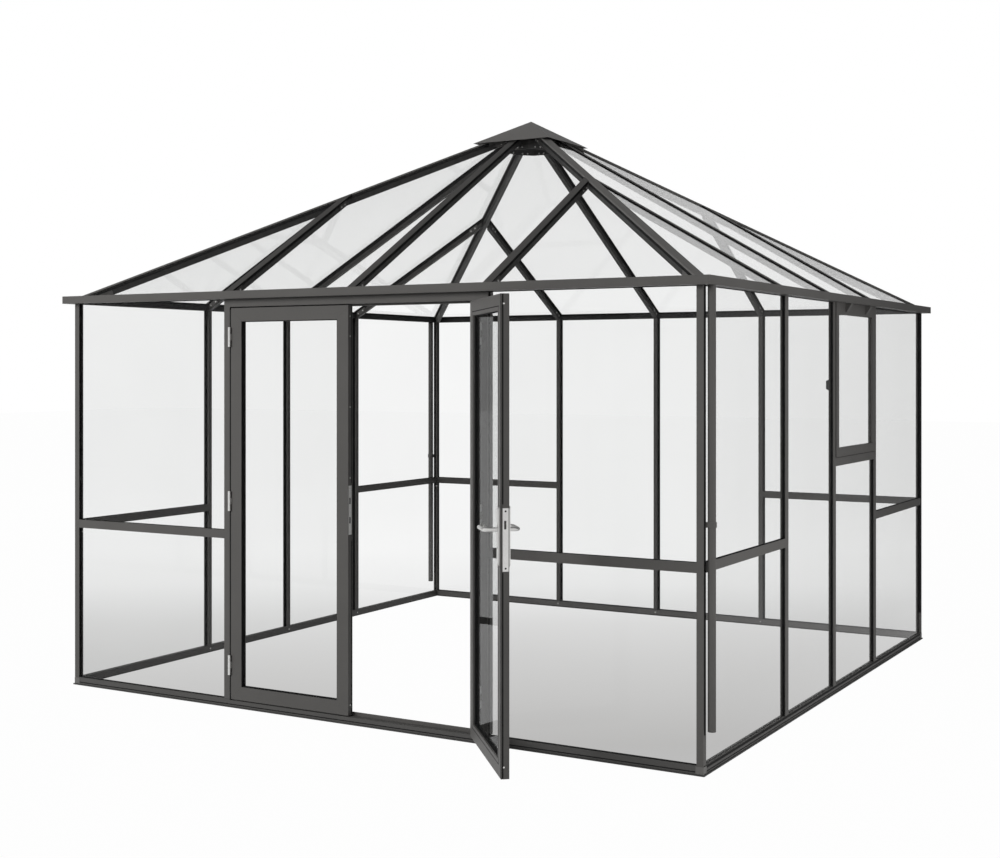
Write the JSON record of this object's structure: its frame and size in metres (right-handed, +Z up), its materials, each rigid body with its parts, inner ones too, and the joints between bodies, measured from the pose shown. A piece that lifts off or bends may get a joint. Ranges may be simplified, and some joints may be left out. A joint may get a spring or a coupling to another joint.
{
  "type": "greenhouse pavilion",
  "caption": "Square glazed garden pavilion with a pyramid roof, hinged double doors, a top-hung vent window, box gutters and downpipes.",
  "frame": {"origin": "on the ground at the middle of the square plan", "axes": "+Z up, the door wall faces -Y, the wall with the vent window faces +X"},
  "size_m": [3.61, 4.1514, 3.0561],
  "materials": {
    "grey_coating": "fine matt powder coating",
    "clear_glass": "clear, polished",
    "satin_steel": "satin"
  },
  "bodies": {
    "pavilion": {"base_frame": "grey_coating", "base_sills": "grey_coating", "corner_posts": "grey_coating", "right_wall_bars": "grey_coating", "back_wall_bars": "grey_coating", "left_wall_bars": "grey_coating", "mid_rails": "grey_coating", "front_gutter": "grey_coating", "right_gutter": "grey_coating", "back_gutter": "grey_coating", "left_gutter": "grey_coating", "hip_bars": "grey_coating", "front_roof_bars": "grey_coating", "right_roof_bars": "grey_coating", "back_roof_bars": "grey_coating", "left_roof_bars": "grey_coating", "crown_ring": "grey_coating", "roof_cap": "grey_coating", "front_wall_glass": "clear_glass", "right_wall_glass": "clear_glass", "back_wall_glass": "clear_glass", "left_wall_glass": "clear_glass", "front_roof_glass": "clear_glass", "right_roof_glass": "clear_glass", "back_roof_glass": "clear_glass", "left_roof_glass": "clear_glass", "door_jambs": "grey_coating", "door_header": "grey_coating", "door_threshold": "grey_coating", "jamb_hinges": "satin_steel", "vent_transom": "grey_coating", "vent_sash": "grey_coating", "vent_glass": "clear_glass", "vent_hinges": "grey_coating", "vent_catch": "grey_coating", "downpipes": "grey_coating", "pipe_clips": "grey_coating"},
    "left_leaf": {"left_leaf_frame": "grey_coating", "left_leaf_glass": "clear_glass", "left_leaf_hinges": "satin_steel", "strike_plate": "satin_steel"},
    "right_leaf": {"right_leaf_frame": "grey_coating", "right_leaf_glass": "clear_glass", "right_leaf_hinges": "satin_steel", "lock_plate": "satin_steel", "handle_plates": "satin_steel"},
    "levers": {"lever_handles": "satin_steel"}
  },
  "joints": [
    {"name": "left_leaf_swing", "type": "hinge", "parent": "pavilion", "child": "left_leaf", "pos_m": [-0.71, -1.768, 0], "axis": [0, 0, -1], "range_deg": [0, 160]},
    {"name": "right_leaf_swing", "type": "hinge", "parent": "pavilion", "child": "right_leaf", "pos_m": [0.71, -1.768, 0], "axis": [0, 0, 1], "range_deg": [-131, 29]},
    {"name": "lever_turn", "type": "hinge", "parent": "right_leaf", "child": "levers", "pos_m": [1.13299, -2.2927, 1.018], "axis": [-0.7547, -0.6561, 0], "range_deg": [0, 40], "stiffness_Nm_per_rad": 1.5, "springref_deg": -34.38}
  ]
}
